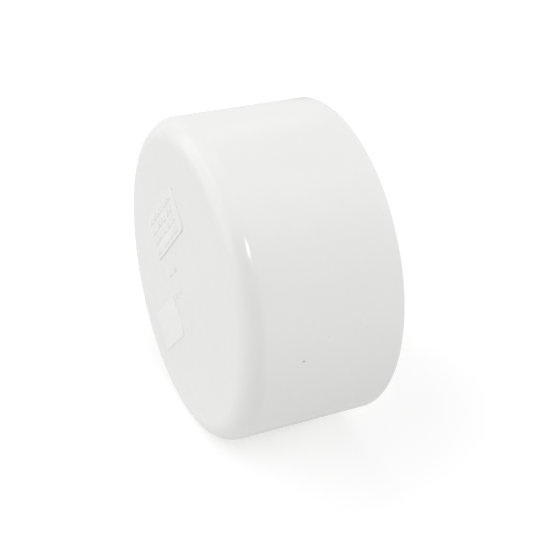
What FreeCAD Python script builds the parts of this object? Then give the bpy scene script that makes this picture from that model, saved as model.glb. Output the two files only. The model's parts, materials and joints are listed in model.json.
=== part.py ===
import FreeCAD, Part
import os
import Sketcher

# Pipe cap for 3 inch (DN 80) plastic pipe: one injection moulding, joined with solvent cement.
# Frame: the cap lies on its side. +Y runs along its axis and out of the mouth, and +Z is up.
# The origin is where the pipe's end comes to rest: the centre of the pipe stop.
# The closed face looks along -Y. Its raised marks are laid out on two directions of their own,
# "along" a row of marks and "across" the rows, turned by row_angle from +X towards +Z.

SIZES = {
    # the shell, in millimetres and degrees
    "hub_dia": (98.90, "outside diameter at the mouth"),
    "draft_angle": (0.60, "the outside narrows towards the closed end"),
    "overall_length": (47.50, "mouth to closed face"),
    "corner_radius": (6.30, "round between the side and the closed face"),
    "rim_break": (0.40, "round on the mouth's outer edge"),
    "socket_dia": (89.03, "wall that the pipe slides into"),
    "socket_depth": (38.10, "mouth to pipe stop"),
    "lead_in_depth": (1.50, "flare at the mouth, along the axis"),
    "lead_in_flare": (0.70, "flare at the mouth, on the radius"),
    "recess_dia": (82.40, "inside the pipe stop"),
    "recess_depth": (3.70, "pipe stop to inner floor"),
    "recess_round": (2.50, "round at the foot of the recess"),
    # the raised plaque and its rows of marks
    "row_angle": (41.40, "direction of the rows on the closed face"),
    "plaque_width": (30.80, "along the rows"),
    "plaque_height": (14.20, "across the rows"),
    "plaque_along": (1.10, "centre of the plaque, along the rows"),
    "plaque_across": (18.50, "centre of the plaque, across the rows"),
    "plaque_relief": (0.30, "height of the plaque above the face"),
    "plaque_margin": (2.00, "plaque edge to the first mark of a row"),
    "mark_height": (2.10, "height of a mark across the rows"),
    "mark_relief": (0.15, "height of a mark above what it stands on"),
    "mark_gap": (1.30, "space between two marks"),
    "row_pitch": (3.20, "row to row on the plaque"),
    # the blank pad below the plaque
    "pad_width": (23.50, "along the rows"),
    "pad_height": (13.30, "across the rows"),
    "pad_along": (-21.10, "centre of the pad, along the rows"),
    "pad_across": (-7.45, "centre of the pad, across the rows"),
    "pad_relief": (0.15, "height of the pad above the face"),
    "pad_corner": (1.00, "corner radius of plaque and pad"),
    # the two short rows near the centre of the face
    "centre_row_along": (-8.40, "left end of both short rows"),
    "centre_row_across": (1.50, "middle of the two short rows"),
    "centre_row_pitch": (7.00, "one short row to the other"),
}

# Lengths of the raised marks, one tuple per row from the top row down.
PLAQUE_ROWS = ((8.4, 5.2, 9.6), (5.6, 10.4, 6.4), (8.4, 4.0, 5.6, 4.4), (6.2, 7.6, 8.2))
CENTRE_ROWS = ((3.6, 3.8), (4.6, 2.0))

ORIGIN_POINT = (-1, 1)      # geometry and vertex numbers of a sketch's own origin
HORIZONTAL_AXIS = -1
VERTICAL_AXIS = -2
NEAR = 1e-4                 # two lengths this close are the same length, mm


def make_sheet(doc):
    """Write the driving sizes into a spreadsheet, one alias each."""
    sheet = doc.addObject("Spreadsheet::Sheet", "Sizes")
    for row, (alias, (value, note)) in enumerate(SIZES.items(), start=1):
        sheet.set(f"A{row}", note)
        sheet.set(f"B{row}", str(value))
        sheet.setAlias(f"B{row}", alias)
    doc.recompute()
    return sheet


def origin_plane(body, role):
    return next(item for item in body.Origin.OriginFeatures if item.Role == role)


def new_sketch(body, name, role):
    sketch = body.newObject("Sketcher::SketchObject", name)
    sketch.AttachmentSupport = (origin_plane(body, role), [""])
    sketch.MapMode = "FlatFace"
    return sketch


def drive(sketch, kind, first, second, name, formula):
    """Add a dimension between two sketch points and bind it to the sheet."""
    value = float(sketch.evalExpression(formula))
    number = sketch.addConstraint(Sketcher.Constraint(kind, *first, *second, value))
    sketch.renameConstraint(number, name)
    sketch.setExpression(f"Constraints.{name}", formula)


def polygon(sketch, points):
    """Join the points with lines that share their ends, and return the lines' numbers."""
    count = len(points)
    ends = [FreeCAD.Vector(x, y, 0) for x, y in points]
    lines = [
        sketch.addGeometry(Part.LineSegment(ends[i], ends[(i + 1) % count]), False)
        for i in range(count)
    ]
    for i, line in enumerate(lines):
        sketch.addConstraint(Sketcher.Constraint("Coincident", line, 2, lines[(i + 1) % count], 1))
    return lines


def edge_names(shape, wanted):
    return [f"Edge{i}" for i, edge in enumerate(shape.Edges, start=1) if wanted(edge)]


def circle_at(along_y, radius):
    """A test for the round edge with this radius, centred on the axis at this place."""

    def test(edge):
        curve = edge.Curve
        if not isinstance(curve, Part.Circle):
            return False
        return abs(curve.Center.y - along_y) < NEAR and abs(curve.Radius - radius) < NEAR

    return test


def round_edges(body, name, wanted, alias):
    """Fillet the wanted edges of the body so far, with the radius that the sheet names."""
    base = body.Tip
    names = edge_names(base.Shape, wanted)
    if not names:
        raise RuntimeError(f"{name}: no edge to round")
    fillet = body.newObject("PartDesign::Fillet", name)
    fillet.Base = (base, names)
    fillet.Radius = base.evalExpression(f"Sizes.{alias}")
    fillet.setExpression("Radius", f"Sizes.{alias}")
    body.Document.recompute()
    return fillet


# ---------------------------------------------------------------- the shell of revolution

def shell_corners():
    """Corners of the half section: (name, place along the axis, radius), both from the sheet.

    The place is towards +Y from the pipe stop."""
    face = "Sizes.socket_depth - Sizes.overall_length"
    mouth = "Sizes.socket_depth"
    floor = "-Sizes.recess_depth"
    narrowing = "Sizes.overall_length * tan(Sizes.draft_angle)"
    return (
        ("face_centre", face, "0"),
        ("face_edge", face, f"Sizes.hub_dia / 2 - {narrowing}"),
        ("rim_outside", mouth, "Sizes.hub_dia / 2"),
        ("rim_inside", mouth, "Sizes.socket_dia / 2 + Sizes.lead_in_flare"),
        ("lead_in_end", f"{mouth} - Sizes.lead_in_depth", "Sizes.socket_dia / 2"),
        ("stop_outside", "0", "Sizes.socket_dia / 2"),
        ("stop_inside", "0", "Sizes.recess_dia / 2"),
        ("recess_foot", floor, "Sizes.recess_dia / 2"),
        ("floor_centre", floor, "0"),
    )


def place_corner(sketch, line, name, place, radius):
    """Fix the first point of a line at its place and radius.

    A dimension is kept positive by measuring it from the lower point to the higher one."""
    corner = (line, 1)
    for kind, axis, formula, tag in (
        ("DistanceX", VERTICAL_AXIS, place, "place"),
        ("DistanceY", HORIZONTAL_AXIS, radius, "radius"),
    ):
        value = float(sketch.evalExpression(formula))
        if value == 0:
            sketch.addConstraint(Sketcher.Constraint("PointOnObject", *corner, axis))
        elif value > 0:
            drive(sketch, kind, ORIGIN_POINT, corner, f"{name}_{tag}", formula)
        else:
            drive(sketch, kind, corner, ORIGIN_POINT, f"{name}_{tag}", f"-({formula})")


def add_shell(body):
    sketch = new_sketch(body, "HalfSection", "YZ_Plane")
    corners = shell_corners()
    start = [
        (float(sketch.evalExpression(place)), float(sketch.evalExpression(radius)))
        for _, place, radius in corners
    ]
    lines = polygon(sketch, start)
    for line, (name, place, radius) in zip(lines, corners):
        place_corner(sketch, line, name, place, radius)
    shell = body.newObject("PartDesign::Revolution", "Shell")
    shell.Profile = sketch
    shell.ReferenceAxis = (sketch, ["H_Axis"])
    shell.Angle = 360.0
    body.Document.recompute()

    places = {name: point for (name, _, _), point in zip(corners, start)}
    round_edges(body, "ClosedEndRound", circle_at(*places["face_edge"]), "corner_radius")
    round_edges(body, "RimRound", circle_at(*places["rim_outside"]), "rim_break")
    round_edges(body, "RecessRound", circle_at(*places["recess_foot"]), "recess_round")


# ---------------------------------------------------------------- raised marks on the closed face

def face_sketch(body, name, stands_on):
    """A sketch parallel to the closed face, seen from outside, at a height above it.

    Its own horizontal direction is along the rows of marks."""
    sketch = new_sketch(body, name, "XZ_Plane")
    height = f"Sizes.overall_length - Sizes.socket_depth + {stands_on}"
    sketch.AttachmentOffset = FreeCAD.Placement(
        FreeCAD.Vector(0, 0, float(sketch.evalExpression(height))),
        FreeCAD.Rotation(FreeCAD.Vector(0, 0, 1), float(sketch.evalExpression("Sizes.row_angle"))),
    )
    sketch.setExpression("AttachmentOffset.Base.z", height)
    sketch.setExpression("AttachmentOffset.Rotation.Angle", "Sizes.row_angle")
    return sketch


def add_rectangle(sketch, name, left, bottom, width, height):
    """A rectangle whose four sizes are formulas on the sheet."""
    x0, y0, dx, dy = (float(sketch.evalExpression(part)) for part in (left, bottom, width, height))
    base, right, top, side = polygon(
        sketch, [(x0, y0), (x0 + dx, y0), (x0 + dx, y0 + dy), (x0, y0 + dy)]
    )
    for line in (base, top):
        sketch.addConstraint(Sketcher.Constraint("Horizontal", line))
    for line in (right, side):
        sketch.addConstraint(Sketcher.Constraint("Vertical", line))
    drive(sketch, "DistanceX", (base, 1), (base, 2), f"{name}_width", width)
    drive(sketch, "DistanceY", (right, 1), (right, 2), f"{name}_height", height)
    place_corner(sketch, base, name, left, bottom)


def raise_pad(body, sketch, name, alias):
    """Raise the sketch's outlines away from the face, and check that material was added."""
    before = body.Tip.Shape.Volume
    pad = body.newObject("PartDesign::Pad", name)
    pad.Profile = sketch
    pad.Length = sketch.evalExpression(f"Sizes.{alias}")
    pad.setExpression("Length", f"Sizes.{alias}")
    body.Document.recompute()
    if pad.Shape.Volume <= before:
        raise RuntimeError(f"{name} added no material")


def add_block(body, name):
    """Raise the plaque or the pad from the closed face, and round its upright corners."""
    sketch = face_sketch(body, f"{name.title()}Outline", "0")
    add_rectangle(
        sketch,
        name,
        f"Sizes.{name}_along - Sizes.{name}_width / 2",
        f"Sizes.{name}_across - Sizes.{name}_height / 2",
        f"Sizes.{name}_width",
        f"Sizes.{name}_height",
    )
    raise_pad(body, sketch, name.title(), f"{name}_relief")
    relief = SIZES[f"{name}_relief"][0]

    def upright(edge):
        return isinstance(edge.Curve, Part.Line) and abs(edge.Length - relief) < NEAR

    round_edges(body, f"{name.title()}Corners", upright, "pad_corner")


def add_rows(body, name, rows, left, first_row, pitch, stands_on):
    """Raise rows of plain marks, top row first. first_row is the middle of the top row."""
    sketch = face_sketch(body, f"{name}Outline", stands_on)
    for row, lengths in enumerate(rows):
        bottom = f"{first_row} - {row} * {pitch} - Sizes.mark_height / 2"
        reached = 0.0
        for place, length in enumerate(lengths):
            start = f"{left} + {reached} + {place} * Sizes.mark_gap"
            mark = f"row{row + 1}mark{place + 1}"
            add_rectangle(sketch, mark, start, bottom, str(length), "Sizes.mark_height")
            reached = round(reached + length, 3)
    raise_pad(body, sketch, name, "mark_relief")


def add_marks(body):
    half_span = f"{len(PLAQUE_ROWS) - 1} / 2 * Sizes.row_pitch"
    add_rows(
        body,
        "PlaqueMarks",
        PLAQUE_ROWS,
        "Sizes.plaque_along - Sizes.plaque_width / 2 + Sizes.plaque_margin",
        f"Sizes.plaque_across + {half_span}",
        "Sizes.row_pitch",
        "Sizes.plaque_relief",
    )
    half_span = f"{len(CENTRE_ROWS) - 1} / 2 * Sizes.centre_row_pitch"
    add_rows(
        body,
        "CentreMarks",
        CENTRE_ROWS,
        "Sizes.centre_row_along",
        f"Sizes.centre_row_across + {half_span}",
        "Sizes.centre_row_pitch",
        "0",
    )


# ---------------------------------------------------------------- build, check, write

def make_cap_body(doc):
    body = doc.addObject("PartDesign::Body", "cap_body")
    body.Label = "cap_body"
    add_shell(body)
    add_block(body, "plaque")
    add_block(body, "pad")
    add_marks(body)
    return body


def check_document(doc, parts):
    """Stop if any object failed to recompute, or a sub-part isn't one valid solid."""
    for item in doc.Objects:
        if "Invalid" in item.State or "Error" in item.State:
            raise RuntimeError(f"{item.Name} is {item.State}")
    for part in parts:
        shape = part.Shape
        if shape.isNull() or not shape.isValid() or len(shape.Solids) != 1:
            raise RuntimeError(f"{part.Label} isn't one valid solid")


def main():
    doc = FreeCAD.newDocument("PipeCap")
    make_sheet(doc)
    parts = [make_cap_body(doc)]
    doc.recompute()
    check_document(doc, parts)
    os.makedirs("parts", exist_ok=True)
    for part in parts:
        part.Shape.exportStep(os.path.join("parts", f"{part.Label}.step"))
        box = part.Shape.optimalBoundingBox()
        print(
            f"{part.Label}: {part.Shape.Volume:.0f} mm3,"
            f" X {box.XMin:.2f} to {box.XMax:.2f},"
            f" Y {box.YMin:.2f} to {box.YMax:.2f},"
            f" Z {box.ZMin:.2f} to {box.ZMax:.2f}"
        )


main()
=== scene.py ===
"""A white moulded pipe cap on a pale studio floor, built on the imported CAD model.

Everything is in metres, in the CAD model's own frame. The cap lies on its side: +Y runs out of its
mouth, its closed face looks along -Y and +Z is up. The origin is the centre of the pipe stop.
"""
import json
import math

import bmesh
import bpy
from mathutils import Matrix, Vector


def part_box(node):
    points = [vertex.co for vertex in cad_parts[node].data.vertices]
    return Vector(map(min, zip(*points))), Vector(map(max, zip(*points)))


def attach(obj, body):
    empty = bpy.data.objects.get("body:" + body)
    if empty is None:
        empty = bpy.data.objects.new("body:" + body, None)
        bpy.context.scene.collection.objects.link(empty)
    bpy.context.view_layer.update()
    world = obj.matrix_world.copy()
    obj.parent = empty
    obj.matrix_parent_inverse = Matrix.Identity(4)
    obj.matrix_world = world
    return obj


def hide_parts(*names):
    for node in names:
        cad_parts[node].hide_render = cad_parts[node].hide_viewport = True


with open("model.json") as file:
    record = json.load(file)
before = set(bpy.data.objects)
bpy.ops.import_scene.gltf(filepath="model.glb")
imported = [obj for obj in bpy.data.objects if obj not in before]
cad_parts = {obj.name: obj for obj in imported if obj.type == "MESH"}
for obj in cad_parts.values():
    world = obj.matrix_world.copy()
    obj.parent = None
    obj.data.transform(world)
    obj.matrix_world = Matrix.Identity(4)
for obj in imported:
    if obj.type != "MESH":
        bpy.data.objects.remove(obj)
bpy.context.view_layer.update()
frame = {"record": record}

MM = 0.001

# ---------------------------------------------------------------- sizes of the shell
CAP_LOW, CAP_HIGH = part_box("cap_body")
SOCKET = next(m for m in frame["record"]["mounts"] if m["name"] == "socket")
SOCKET_RADIUS = SOCKET["dims"]["r_mm"] * MM
STOP_Y = SOCKET["pos_m"][1]
MOUTH_Y = CAP_HIGH.y
PLAQUE_RELIEF = 0.30 * MM
PAD_RELIEF = 0.15 * MM
MARK_RELIEF = 0.15 * MM
FACE_Y = CAP_LOW.y + PLAQUE_RELIEF + MARK_RELIEF
MIDDLE_Y = (MOUTH_Y + FACE_Y) / 2
HUB_RADIUS = 49.45 * MM             # outside, at the mouth
DRAFT = math.radians(0.6)           # the outside narrows towards the closed end
CORNER_RADIUS = 6.3 * MM            # side to closed face
RIM_BREAK = 0.4 * MM                # outer edge of the mouth
LEAD_IN_DEPTH = 1.5 * MM
LEAD_IN_FLARE = 0.7 * MM
RECESS_RADIUS = 41.2 * MM           # inside the pipe stop
RECESS_DEPTH = 3.7 * MM
RECESS_ROUND = 2.5 * MM
SMALL_EDGE = 0.15 * MM              # softened inner edges of the mouth and the pipe stop
SEGMENTS = 288                      # round the axis
SHARP_ANGLE = math.radians(40)      # edges that turn by more are shaded sharp

# ---------------------------------------------------------------- sizes of the raised marks
# "along" runs along a row of marks and "across" runs over the rows; both are turned on the face.
ROW_ANGLE = math.radians(41.4)
ALONG = Vector((math.cos(ROW_ANGLE), 0, math.sin(ROW_ANGLE)))
ACROSS = Vector((-math.sin(ROW_ANGLE), 0, math.cos(ROW_ANGLE)))
OUT = Vector((0, -1, 0))
PLAQUE_CENTRE = (1.1 * MM, 18.5 * MM)
PLAQUE_SIZE = (30.8 * MM, 14.2 * MM)
PAD_CENTRE = (-21.1 * MM, -7.45 * MM)
PAD_SIZE = (23.5 * MM, 13.3 * MM)
PAD_CORNER = 1.0 * MM
PAD_EDGE = 0.12 * MM
BLOCK_FADE = 0.8 * MM               # border over which the blocks' paler tone fades
PLAQUE_EDGE = 0.2 * MM
PLAQUE_MARGIN = 2.0 * MM
MARK_HEIGHT = 2.1 * MM
MARK_CORNER = 0.2 * MM
CORNER_STEPS = 5                    # mesh steps round a block's corners and over its upper edge
EDGE_STEPS = 3
MARK_GAP = 1.3 * MM
MARK_EDGE = 0.11 * MM
ROW_PITCH = 3.2 * MM
CENTRE_ROW_START = -8.4 * MM
CENTRE_ROW_MIDDLE = 1.5 * MM
CENTRE_ROW_PITCH = 7.0 * MM
PLAQUE_ROWS = ((8.4, 5.2, 9.6), (5.6, 10.4, 6.4), (8.4, 4.0, 5.6, 4.4), (6.2, 7.6, 8.2))
CENTRE_ROWS = ((3.6, 3.8), (4.6, 2.0))
SUNK = 1.0 * MM                     # how far a raised block starts below the face it joins
# One mark is a run of strokes: the width of each in mm, and its height as a share of the mark's.
STROKE_BEAT = (
    (1.25, 1.0),
    (0.75, 1.0),
    (1.05, 0.72),
    (1.45, 1.0),
    (0.85, 0.72),
    (1.15, 1.0),
    (0.65, 0.72),
)
STROKE_SPACE = 0.4 * MM
STROKE_LEAST = 0.5 * MM             # no stroke starts nearer than this to the end of its mark

# ---------------------------------------------------------------- camera
CAMERA_AZIMUTH = math.radians(65.0)
CAMERA_ELEVATION = math.radians(26.56)
CAMERA_DISTANCE = 6.0 * HUB_RADIUS
CAMERA_LENS = 65.08                 # mm
CAMERA_SENSOR = 36.0                # mm
CAMERA_CLIP = 0.01
AIM_RIGHT = 0.0146                  # the picture's centre lies this far right of the cap's middle,
AIM_UP = 0.0016                     # and this far above it, as shares of the distance

# ---------------------------------------------------------------- colours
WALL_TINTS = ((0.830, 0.830, 0.815, 1), (0.840, 0.839, 0.827, 1))
# painted shade and painted reflection: the closed face is coloured a little darker and greener than
# the wall
FACE_SHADE_TINTS = ((0.815, 0.825, 0.806, 1), (0.826, 0.834, 0.817, 1))
FINE_TINT = (0.844, 0.845, 0.836, 1)
BLOCK_TINT = (0.866, 0.864, 0.850, 1)
BLOCK_CLOUD = 0.65                  # the paler tone of a block varies between this and 1
PAD_STRENGTH = 1.0
PLAQUE_STRENGTH = 0.7
SPECK_TINT = (0.22, 0.21, 0.19, 1)
SPECK_CORE = 0.5                    # share of a speck's radius that has its full strength
# Specks: turn round the axis in degrees, y and radius in mm, strength
SPECKS = (
    (355.3, 7.3, 0.42, 0.55),
    (1.8, 22.6, 0.40, 0.10),
    (2.3, 14.5, 0.35, 0.08),
    (2.4, 26.2, 0.35, 0.07),
    (355.4, 9.3, 0.30, 0.08),
    (7.3, 25.0, 0.30, 0.06),
    (15.7, 20.9, 0.35, 0.06),
    (37.0, 35.4, 0.30, 0.08),
    (52.0, 31.3, 0.35, 0.06),
    (68.9, 20.1, 0.35, 0.06),
    (72.0, 36.1, 0.40, 0.08),
    (131.0, 12.0, 0.30, 0.08),
    (166.0, 28.5, 0.35, 0.10),
    (204.0, 5.5, 0.30, 0.07),
    (237.0, 18.6, 0.40, 0.08),
    (263.0, 33.0, 0.30, 0.07),
    (291.0, 9.4, 0.35, 0.07),
    (317.0, 24.2, 0.30, 0.07),
)

# ---------------------------------------------------------------- surface of the plastic
PVC_IOR = 1.53
PVC_SUBSURFACE = 0.12
PVC_SUBSURFACE_SPREAD = (1.0, 0.9, 0.8)
PVC_SUBSURFACE_DEPTH = 1.5 * MM
# Noise: blotches in a metre, detail, and the values that it runs between
WALL_MOTTLE = (55.0, 2.0, 0.0, 1.0)
FACE_MOTTLE = (70.0, 2.0, 0.0, 1.0)
FINE_MOTTLE = (750.0, 3.0, 0.0, 0.35)
CLOUD_SCALE = (160.0, 2.0)
ROUGHNESS_NOISE = (260.0, 2.0, 0.16, 0.22)
FACE_ROUGHNESS = 0.03
BUMP_NOISE = (420.0, 3.0, 0.0, 1.0)
BUMP_STRENGTH = 0.25
BUMP_HEIGHT = 0.01 * MM
FACE_FADE = (1.0 * MM, 4.0 * MM)    # behind the closed face, where its painted shade and rougher finish give way to the wall's
NOISE_RANGE = (0.3, 0.7)            # where nearly all values of the noise texture lie

# ---------------------------------------------------------------- light
LIGHT_DISTANCE = 1.2
LIGHT_AIM = Vector((0, 0.014, 0))   # about the middle of the cap
WORLD_GLOW = 0.44                   # light from all round, as from a white studio
FLOOR_TONE = 0.6
FLOOR_ROUGHNESS = 0.9
FLOOR_SPECULAR = 0.1
FLOOR_GLOW = (0.29, 0.20)           # the floor's own light, under the cap and beside it
FLOOR_UNDER = (0.02, 0.06)          # the distances between which it changes
FLOOR_WHITE = (0.20, 0.60)          # added in the picture only, near the cap and far from it
FLOOR_SHADE = (0.05, 0.45)          # near and far
FLOOR_RADIUS = 0.85
FLOOR_SEGMENTS = 128
# name, azimuth, elevation, (width, height), power in watts
SOFTBOXES = (
    ("overhead", 0, 70, (1.6, 1.6), 6.4),
    ("left", 276, 20, (1.6, 1.6), 3.4),
    ("left_front", 336, 20, (1.6, 1.0), 4.5),
    ("right_high", 135, 60, (0.8, 0.8), 0.6),
    ("right_middle", 155, 22, (0.6, 0.6), 2.9),
    ("right_back", 168, 8, (0.35, 0.6), 2.9),
    ("back_high", 210, 60, (1.2, 1.0), 0.5),
    ("glint", 77, 40, (0.25, 0.21), 1.5),
)


# ---------------------------------------------------------------- mesh helpers

def arc(centre, radius, start_degrees, end_degrees, steps):
    """Points on a circle in the half section, as (y, r). Zero degrees is +Y and 90 is outwards."""
    points = []
    for step in range(steps + 1):
        angle = math.radians(start_degrees + (end_degrees - start_degrees) * step / steps)
        points.append((centre[0] + radius * math.cos(angle), centre[1] + radius * math.sin(angle)))
    return points


def straight(start, end, steps):
    """Points strictly between two corners of the half section, for an even mesh along a long wall."""
    return [
        (
            start[0] + (end[0] - start[0]) * step / steps,
            start[1] + (end[1] - start[1]) * step / steps,
        )
        for step in range(1, steps)
    ]


def wall_radius(y):
    """Radius of the outside wall at a place along the axis."""
    return HUB_RADIUS - (MOUTH_Y - y) * math.tan(DRAFT)


def half_section():
    """The shell's outline from the edge of the closed face, over the outside, to the inner floor."""
    draft = math.degrees(DRAFT)
    corner_y = FACE_Y + CORNER_RADIUS
    corner = (corner_y, wall_radius(corner_y) - CORNER_RADIUS / math.cos(DRAFT))
    outer_round = arc(corner, CORNER_RADIUS, 180, 90 + draft, 20)
    rim_y = MOUTH_Y - RIM_BREAK
    rim = (rim_y, wall_radius(rim_y) - RIM_BREAK / math.cos(DRAFT))
    rim_round = arc(rim, RIM_BREAK, 90 + draft, 0, 6)
    flare = math.degrees(math.atan2(LEAD_IN_DEPTH, LEAD_IN_FLARE))
    flare_edge = (MOUTH_Y - SMALL_EDGE, SOCKET_RADIUS + LEAD_IN_FLARE + SMALL_EDGE)
    mouth_round = arc(flare_edge, SMALL_EDGE, 0, -flare, 4)
    lead_in_end = (MOUTH_Y - LEAD_IN_DEPTH, SOCKET_RADIUS)
    stop_foot = (STOP_Y + SMALL_EDGE, SOCKET_RADIUS - SMALL_EDGE)
    foot_round = arc(stop_foot, SMALL_EDGE, 90, 180, 4)
    stop_edge = (STOP_Y - SMALL_EDGE, RECESS_RADIUS + SMALL_EDGE)
    edge_round = arc(stop_edge, SMALL_EDGE, 0, -90, 4)
    floor_y = STOP_Y - RECESS_DEPTH
    recess = (floor_y + RECESS_ROUND, RECESS_RADIUS - RECESS_ROUND)
    recess_round = arc(recess, RECESS_ROUND, 90, 180, 10)
    return (
        outer_round
        + straight(outer_round[-1], rim_round[0], 8)
        + rim_round
        + mouth_round
        + [lead_in_end]
        + straight(lead_in_end, foot_round[0], 8)
        + foot_round
        + edge_round
        + recess_round
    )


def new_object(name, bm):
    mesh = bpy.data.meshes.new(name)
    bm.to_mesh(mesh)
    bm.free()
    piece = bpy.data.objects.new(name, mesh)
    bpy.context.scene.collection.objects.link(piece)
    return piece


def lathe(name, outline):
    """Turn a half section round the Y axis, and close both ends with a flat disc."""
    bm = bmesh.new()
    rings = []
    for y, radius in outline:
        ring = []
        for step in range(SEGMENTS):
            turn = 2 * math.pi * step / SEGMENTS
            ring.append(bm.verts.new((radius * math.cos(turn), y, radius * math.sin(turn))))
        rings.append(ring)
    for inner, outer in zip(rings, rings[1:]):
        for step in range(SEGMENTS):
            after = (step + 1) % SEGMENTS
            bm.faces.new((inner[step], inner[after], outer[after], outer[step]))
    bm.faces.new(rings[0])
    bm.faces.new(reversed(rings[-1]))
    bmesh.ops.recalc_face_normals(bm, faces=bm.faces)
    return new_object(name, bm)


def bevel(bm, edges, radius, segments):
    bmesh.ops.bevel(
        bm,
        geom=edges,
        offset=radius,
        segments=segments,
        profile=0.5,
        affect="EDGES",
        clamp_overlap=True,
    )


def add_block(bm, centre, size, foot, top, corner, edge):
    """Add a raised block to bm, in (along, across, height above the face) coordinates.

    Its upright corners get the radius corner, and its upper edge the radius edge."""
    block = bmesh.new()
    bmesh.ops.create_cube(block, size=1.0)
    bmesh.ops.scale(block, vec=(size[0], size[1], top - foot), verts=block.verts)
    bmesh.ops.translate(block, vec=(centre[0], centre[1], (top + foot) / 2), verts=block.verts)
    upright = [e for e in block.edges if abs(e.verts[0].co.z - e.verts[1].co.z) > edge]
    bevel(block, upright, corner, CORNER_STEPS)
    level = top - edge / 2
    upper = [e for e in block.edges if all(v.co.z > level for v in e.verts)]
    bevel(block, upper, edge, EDGE_STEPS)
    scratch = bpy.data.meshes.new("block")
    block.to_mesh(scratch)
    block.free()
    bm.from_mesh(scratch)
    bpy.data.meshes.remove(scratch)


def face_matrix():
    """From (along, across, height above the face) to the CAD frame."""
    rows = [[ALONG[i], ACROSS[i], OUT[i], 0.0] for i in range(3)]
    rows[1][3] = FACE_Y
    return Matrix(rows + [[0, 0, 0, 1]])


def plaque_and_pad():
    bm = bmesh.new()
    add_block(bm, PLAQUE_CENTRE, PLAQUE_SIZE, -SUNK, PLAQUE_RELIEF, PAD_CORNER, PLAQUE_EDGE)
    add_block(bm, PAD_CENTRE, PAD_SIZE, -SUNK, PAD_RELIEF, PAD_CORNER, PAD_EDGE)
    bm.transform(face_matrix())
    return new_object("plaque_and_pad", bm)


def strokes(length):
    """Split one mark into short upright blocks: (start, width, height) of each.

    The sizes follow a fixed beat, so the rows look like moulded marking but spell nothing."""
    found = []
    start = 0.0
    count = 0
    while start < length - STROKE_LEAST:
        width, height = STROKE_BEAT[count % len(STROKE_BEAT)]
        width = min(width * MM, length - start)
        found.append((start, width, height * MARK_HEIGHT))
        start += width + STROKE_SPACE
        count += 1
    return found


def add_rows(bm, rows, left, first_row, pitch, stands_on):
    """Add rows of blocks, the top row first. first_row is the middle of the top row."""
    for row, lengths in enumerate(rows):
        foot_line = first_row - row * pitch - MARK_HEIGHT / 2
        reached = left
        for length in lengths:
            for start, width, height in strokes(length * MM):
                centre = (reached + start + width / 2, foot_line + height / 2)
                foot = stands_on - SUNK / 4
                top = stands_on + MARK_RELIEF
                add_block(bm, centre, (width, height), foot, top, MARK_CORNER, MARK_EDGE)
            reached += length * MM + MARK_GAP


def raised_marks():
    bm = bmesh.new()
    left = PLAQUE_CENTRE[0] - PLAQUE_SIZE[0] / 2 + PLAQUE_MARGIN
    top_row = PLAQUE_CENTRE[1] + (len(PLAQUE_ROWS) - 1) / 2 * ROW_PITCH
    add_rows(bm, PLAQUE_ROWS, left, top_row, ROW_PITCH, PLAQUE_RELIEF)
    top_row = CENTRE_ROW_MIDDLE + (len(CENTRE_ROWS) - 1) / 2 * CENTRE_ROW_PITCH
    add_rows(bm, CENTRE_ROWS, CENTRE_ROW_START, top_row, CENTRE_ROW_PITCH, 0.0)
    bm.transform(face_matrix())
    return new_object("raised_marks", bm)


def apply_modifiers(piece):
    bpy.context.view_layer.update()
    evaluated = piece.evaluated_get(bpy.context.evaluated_depsgraph_get())
    mesh = bpy.data.meshes.new_from_object(evaluated)
    piece.modifiers.clear()
    old = piece.data
    piece.data = mesh
    mesh.name = old.name
    bpy.data.meshes.remove(old)


def join_solid(piece, other):
    """Fuse another closed solid into the piece, and delete the other."""
    union = piece.modifiers.new("union", "BOOLEAN")
    union.operation = "UNION"
    union.solver = "EXACT"
    union.object = other
    apply_modifiers(piece)
    mesh = other.data
    bpy.data.objects.remove(other)
    bpy.data.meshes.remove(mesh)


def smooth_shading(piece):
    """Smooth the rounds and keep flats flat: corner normals are weighted by face area."""
    piece.data.shade_smooth()
    piece.data.set_sharp_from_angle(angle=SHARP_ANGLE)
    weighted = piece.modifiers.new("weighted_normals", "WEIGHTED_NORMAL")
    weighted.mode = "FACE_AREA"
    weighted.weight = 100
    weighted.keep_sharp = True
    apply_modifiers(piece)


# ---------------------------------------------------------------- material

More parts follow.
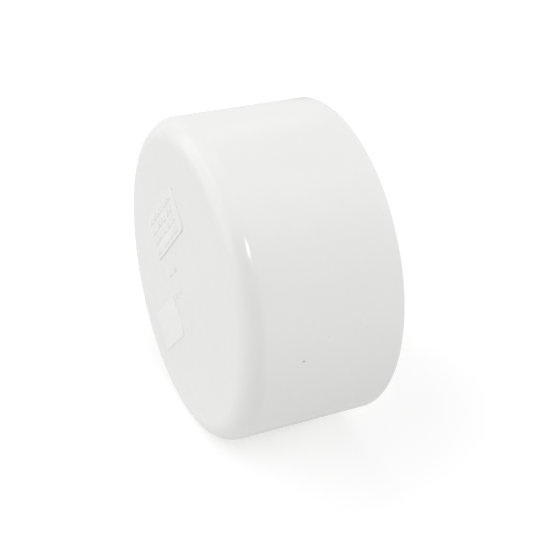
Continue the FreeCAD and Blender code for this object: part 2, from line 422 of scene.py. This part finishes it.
class Shader:
    """A material's node tree, with short ways to add the nodes used here."""

    def __init__(self, name):
        self.material = bpy.data.materials.new(name)
        self.material.use_nodes = True
        self.tree = self.material.node_tree
        self.surface = self.tree.nodes["Principled BSDF"]
        self.place = self.tree.nodes.new("ShaderNodeTexCoord").outputs["Object"]

    def feed(self, socket, value):
        if isinstance(value, bpy.types.NodeSocket):
            self.tree.links.new(value, socket)
        else:
            socket.default_value = value

    def maths(self, operation, first, second):
        node = self.tree.nodes.new("ShaderNodeMath")
        node.operation = operation
        self.feed(node.inputs[0], first)
        self.feed(node.inputs[1], second)
        return node.outputs["Value"]

    def vector(self, operation, second):
        """The place on the object, measured against a fixed vector: DISTANCE or DOT_PRODUCT."""
        node = self.tree.nodes.new("ShaderNodeVectorMath")
        node.operation = operation
        self.feed(node.inputs[0], self.place)
        node.inputs[1].default_value = second
        return node.outputs["Value"]

    def remap(self, value, start, end, low, high):
        """Runs from low, where value is start, to high, where it is end, and stays there."""
        node = self.tree.nodes.new("ShaderNodeMapRange")
        self.feed(node.inputs["Value"], value)
        ends = {"From Min": start, "From Max": end, "To Min": low, "To Max": high}
        for socket, number in ends.items():
            node.inputs[socket].default_value = number
        return node.outputs["Result"]

    def noise(self, scale, detail, low, high):
        """Noise, spread so that it runs from low to high. scale counts the blotches in a metre."""
        node = self.tree.nodes.new("ShaderNodeTexNoise")
        self.feed(node.inputs["Vector"], self.place)
        node.inputs["Scale"].default_value = scale
        node.inputs["Detail"].default_value = detail
        return self.remap(node.outputs["Fac"], *NOISE_RANGE, low, high)

    def mix(self, factor, first, second):
        node = self.tree.nodes.new("ShaderNodeMix")
        node.data_type = "RGBA"
        self.feed(node.inputs["Factor"], factor)
        self.feed(node.inputs["A"], first)
        self.feed(node.inputs["B"], second)
        return node.outputs["Result"]


def face_mask(shader):
    """1 on the closed face, fading out over the rounded corner."""
    height = shader.vector("DOT_PRODUCT", (0, 1, 0))
    return shader.remap(height, FACE_Y + FACE_FADE[0], FACE_Y + FACE_FADE[1], 1.0, 0.0)


def block_mask(shader, centre, size, strength):
    """Up to strength on a raised block, 0 off it, with a soft border and a faint cloud over it."""
    masks = []
    for direction, middle, width in zip((ALONG, ACROSS), centre, size):
        offset = shader.maths("SUBTRACT", shader.vector("DOT_PRODUCT", direction), middle)
        reach = shader.maths("ABSOLUTE", offset, 0.0)
        masks.append(shader.remap(reach, width / 2 - BLOCK_FADE, width / 2, 1.0, 0.0))
    inside = shader.maths("MULTIPLY", shader.maths("MULTIPLY", *masks), face_mask(shader))
    cloud = shader.noise(*CLOUD_SCALE, BLOCK_CLOUD * strength, strength)
    return shader.maths("MULTIPLY", inside, cloud)


def speck_mask(shader):
    """Small inclusions in the plastic, in the outside wall."""
    total = 0.0
    for turn, y, radius, strength in SPECKS:
        angle = math.radians(turn)
        out = wall_radius(y * MM)
        middle = (out * math.cos(angle), y * MM, out * math.sin(angle))
        away = shader.vector("DISTANCE", middle)
        one = shader.remap(away, radius * MM * SPECK_CORE, radius * MM, strength, 0.0)
        total = shader.maths("MAXIMUM", one, total)
    return total


def pvc_material():
    """White uPVC from a polished mould: semi-gloss, faintly mottled, with a few specks. The closed
    face is painted a little darker and greener than the wall: painted shade and painted reflection.
    """
    shader = Shader("white_pvc")
    surface = shader.surface
    surface.inputs["IOR"].default_value = PVC_IOR
    surface.inputs["Subsurface Weight"].default_value = PVC_SUBSURFACE
    surface.inputs["Subsurface Radius"].default_value = PVC_SUBSURFACE_SPREAD
    surface.inputs["Subsurface Scale"].default_value = PVC_SUBSURFACE_DEPTH

    face = face_mask(shader)
    pad = block_mask(shader, PAD_CENTRE, PAD_SIZE, PAD_STRENGTH)
    plaque = block_mask(shader, PLAQUE_CENTRE, PLAQUE_SIZE, PLAQUE_STRENGTH)
    body = shader.mix(shader.noise(*WALL_MOTTLE), *WALL_TINTS)
    # painted shade and painted reflection: the closed face gets a darker, greener colour than the
    # wall
    painted_face = shader.mix(shader.noise(*FACE_MOTTLE), *FACE_SHADE_TINTS)
    colour = shader.mix(face, body, painted_face)
    colour = shader.mix(shader.noise(*FINE_MOTTLE), colour, FINE_TINT)
    colour = shader.mix(shader.maths("MAXIMUM", pad, plaque), colour, BLOCK_TINT)
    colour = shader.mix(speck_mask(shader), colour, SPECK_TINT)
    shader.feed(surface.inputs["Base Color"], colour)

    rough = shader.noise(*ROUGHNESS_NOISE)
    rough = shader.maths("ADD", rough, shader.maths("MULTIPLY", face, FACE_ROUGHNESS))
    shader.feed(surface.inputs["Roughness"], rough)

    bump = shader.tree.nodes.new("ShaderNodeBump")
    bump.inputs["Strength"].default_value = BUMP_STRENGTH
    bump.inputs["Distance"].default_value = BUMP_HEIGHT
    shader.feed(bump.inputs["Height"], shader.noise(*BUMP_NOISE))
    shader.feed(surface.inputs["Normal"], bump.outputs["Normal"])
    return shader.material


def floor_material():
    """Matt white with a little light of its own, and whiter to the camera than to the cap."""
    shader = Shader("studio_floor")
    surface = shader.surface
    surface.inputs["Base Color"].default_value = (FLOOR_TONE, FLOOR_TONE, FLOOR_TONE, 1)
    surface.inputs["Roughness"].default_value = FLOOR_ROUGHNESS
    surface.inputs["Specular IOR Level"].default_value = FLOOR_SPECULAR
    surface.inputs["Emission Color"].default_value = (1, 1, 1, 1)
    away = shader.vector("DISTANCE", (0, MIDDLE_Y, -HUB_RADIUS))
    own = shader.remap(away, *FLOOR_UNDER, *FLOOR_GLOW)
    white = shader.remap(away, *FLOOR_SHADE, *FLOOR_WHITE)
    seen = shader.tree.nodes.new("ShaderNodeLightPath").outputs["Is Camera Ray"]
    glow = shader.maths("ADD", own, shader.maths("MULTIPLY", seen, white))
    shader.feed(surface.inputs["Emission Strength"], glow)
    return shader.material


# ---------------------------------------------------------------- the cap

def build_cap():
    cap = lathe("cap_shell", half_section())
    join_solid(cap, plaque_and_pad())
    join_solid(cap, raised_marks())
    smooth_shading(cap)
    cap.data.materials.clear()
    cap.data.materials.append(pvc_material())
    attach(cap, "root")
    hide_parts("cap_body")


# ---------------------------------------------------------------- studio

def build_floor():
    bm = bmesh.new()
    bmesh.ops.create_circle(bm, cap_ends=True, segments=FLOOR_SEGMENTS, radius=FLOOR_RADIUS)
    bmesh.ops.translate(bm, vec=(0, 0, -HUB_RADIUS), verts=bm.verts)
    floor = new_object("studio_floor", bm)
    floor.data.materials.append(floor_material())


def towards(azimuth, elevation):
    """Unit vector from the cap towards a viewer or a light. Azimuth 0 faces the closed end."""
    level = math.cos(elevation)
    return Vector((math.sin(azimuth) * level, -math.cos(azimuth) * level, math.sin(elevation)))


def build_camera():
    forward = -towards(CAMERA_AZIMUTH, CAMERA_ELEVATION)
    right = Vector((math.cos(CAMERA_AZIMUTH), math.sin(CAMERA_AZIMUTH), 0))
    up = right.cross(forward)
    middle = Vector((0, MIDDLE_Y, 0))
    camera_data = bpy.data.cameras.new("camera")
    camera_data.lens = CAMERA_LENS
    camera_data.sensor_width = CAMERA_SENSOR
    camera_data.clip_start = CAMERA_CLIP
    camera = bpy.data.objects.new("camera", camera_data)
    bpy.context.scene.collection.objects.link(camera)
    camera.location = middle - CAMERA_DISTANCE * (forward - AIM_RIGHT * right - AIM_UP * up)
    camera.rotation_euler = Matrix((right, up, -forward)).transposed().to_euler()
    bpy.context.scene.camera = camera


def add_softbox(name, azimuth, elevation, size, power):
    """A rectangular area light that faces the cap. Azimuth is counted as for the camera."""
    away = towards(math.radians(azimuth), math.radians(elevation))
    data = bpy.data.lights.new(name, "AREA")
    data.shape = "RECTANGLE"
    data.size, data.size_y = size
    data.energy = power
    light = bpy.data.objects.new(name, data)
    bpy.context.scene.collection.objects.link(light)
    light.location = LIGHT_AIM + away * LIGHT_DISTANCE
    light.rotation_euler = away.to_track_quat("Z", "Y").to_euler()


def build_world():
    """A white surround, dimmer for the cap than for the picture: the softboxes do the modelling."""
    world = bpy.data.worlds.new("studio")
    bpy.context.scene.world = world
    world.use_nodes = True
    nodes, links = world.node_tree.nodes, world.node_tree.links
    background = nodes["Background"]
    background.inputs["Color"].default_value = (1, 1, 1, 1)
    strength = nodes.new("ShaderNodeMapRange")
    strength.inputs["To Min"].default_value = WORLD_GLOW
    strength.inputs["To Max"].default_value = 1.0
    links.new(nodes.new("ShaderNodeLightPath").outputs["Is Camera Ray"], strength.inputs["Value"])
    links.new(strength.outputs["Result"], background.inputs["Strength"])


def build_light():
    for name, azimuth, elevation, size, power in SOFTBOXES:
        add_softbox(name, azimuth, elevation, size, power)
    bpy.context.scene.view_settings.view_transform = "Standard"


build_cap()
build_floor()
build_camera()
build_world()
build_light()
